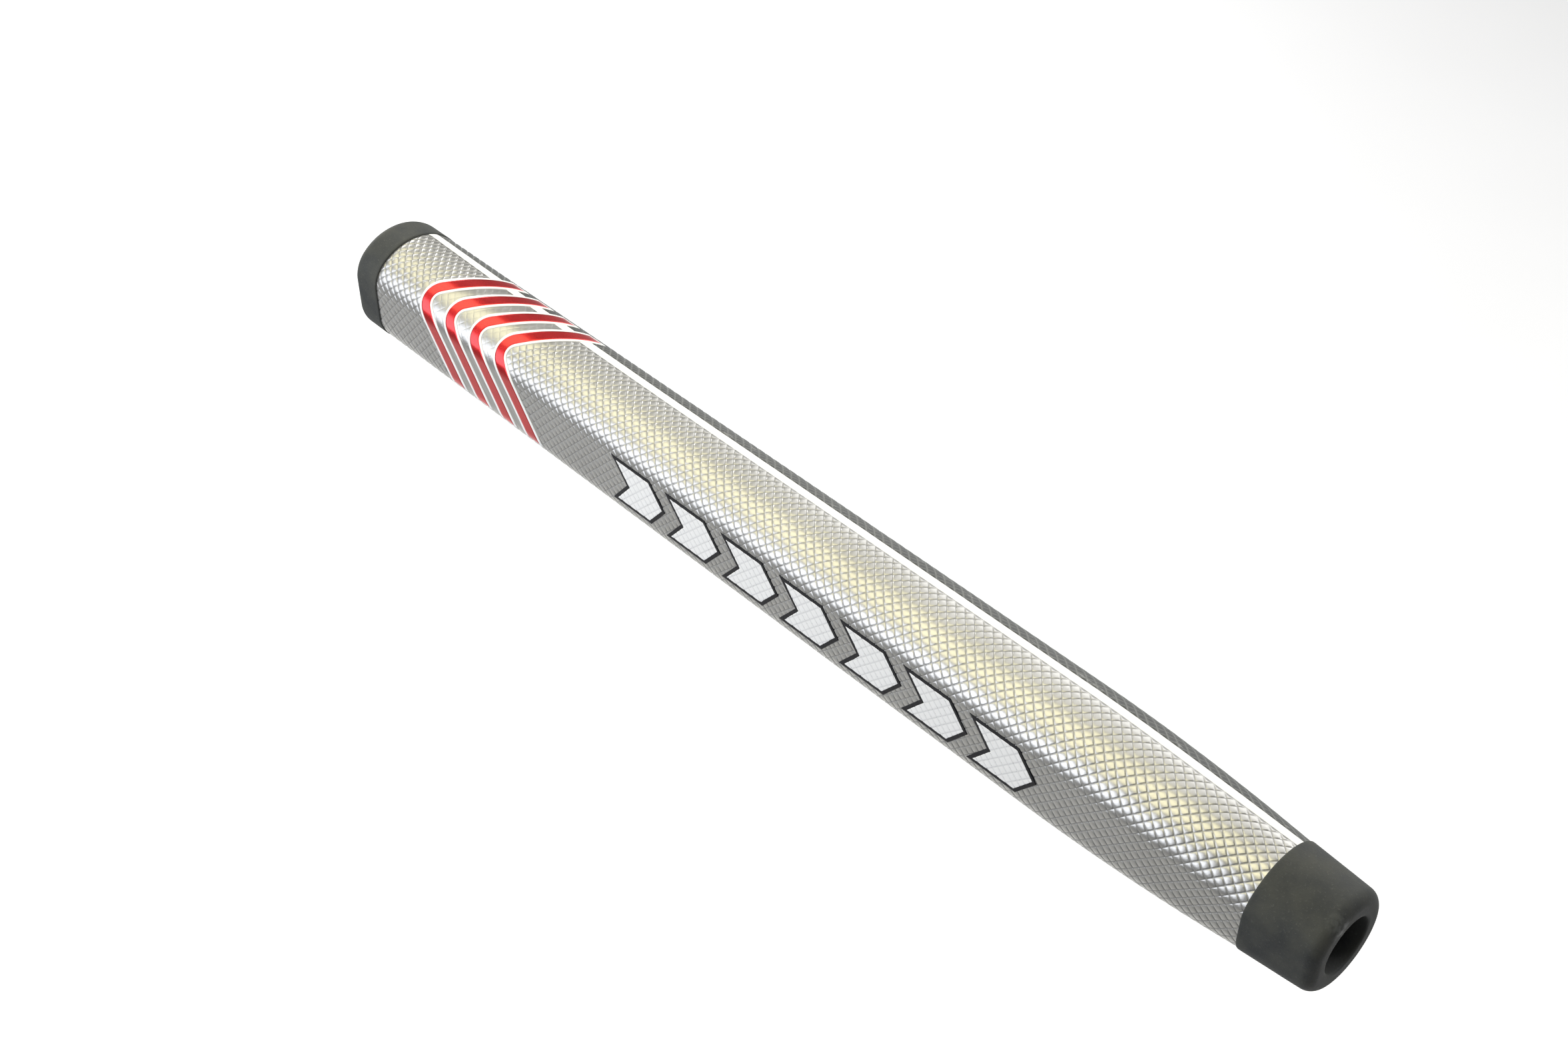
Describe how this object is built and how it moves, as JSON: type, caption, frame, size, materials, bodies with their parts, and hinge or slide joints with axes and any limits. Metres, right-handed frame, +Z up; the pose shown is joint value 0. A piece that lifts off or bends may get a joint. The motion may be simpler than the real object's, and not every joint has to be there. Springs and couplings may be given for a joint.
{
  "type": "golf grip",
  "caption": "Midsize putter grip with a flat front: foam sleeve with a shaft bore, embossed silver and grey wrap, rubber butt cap and tip collar.",
  "frame": {"origin": "on the shaft's axis, where the end of the shaft seats inside the butt cap", "axes": "+X along the shaft from the butt to the tip, -Y the outward normal of the flat front, +Z up, the grip's right side"},
  "size_m": [0.328, 0.0305, 0.0328],
  "materials": {
    "silver_skin": "embossed silver polyurethane skin, satin metallic",
    "grey_skin": "embossed dark grey polyurethane skin",
    "white_skin": "smooth white polyurethane strip",
    "cap_rubber": "moulded charcoal rubber, matt and slightly mottled",
    "foam": "closed-cell foam",
    "felt": "non-woven felt",
    "red_film": "smooth metallic red film, glossy",
    "white_film": "white printed film",
    "dark_film": "near-black printed film"
  },
  "bodies": {
    "root": {"foam_sleeve": "foam", "felt_backing": "felt", "seam_welt": "felt", "front_skin": "silver_skin", "right_pinstripe": "white_skin", "left_pinstripe": "white_skin", "right_back_skin": "grey_skin", "left_back_skin": "grey_skin", "butt_cap": "cap_rubber", "tip_collar": "cap_rubber", "red_band_1": "red_film", "red_band_2": "red_film", "red_band_3": "red_film", "red_band_4": "red_film", "band_border_1": "white_film", "band_border_2": "white_film", "band_border_3": "white_film", "band_border_4": "white_film", "block_fill_1": "white_film", "block_fill_2": "white_film", "block_fill_3": "white_film", "block_fill_4": "white_film", "block_fill_5": "white_film", "block_fill_6": "white_film", "block_fill_7": "white_film", "block_border_1": "dark_film", "block_border_2": "dark_film", "block_border_3": "dark_film", "block_border_4": "dark_film", "block_border_5": "dark_film", "block_border_6": "dark_film", "block_border_7": "dark_film"}
  },
  "joints": []
}
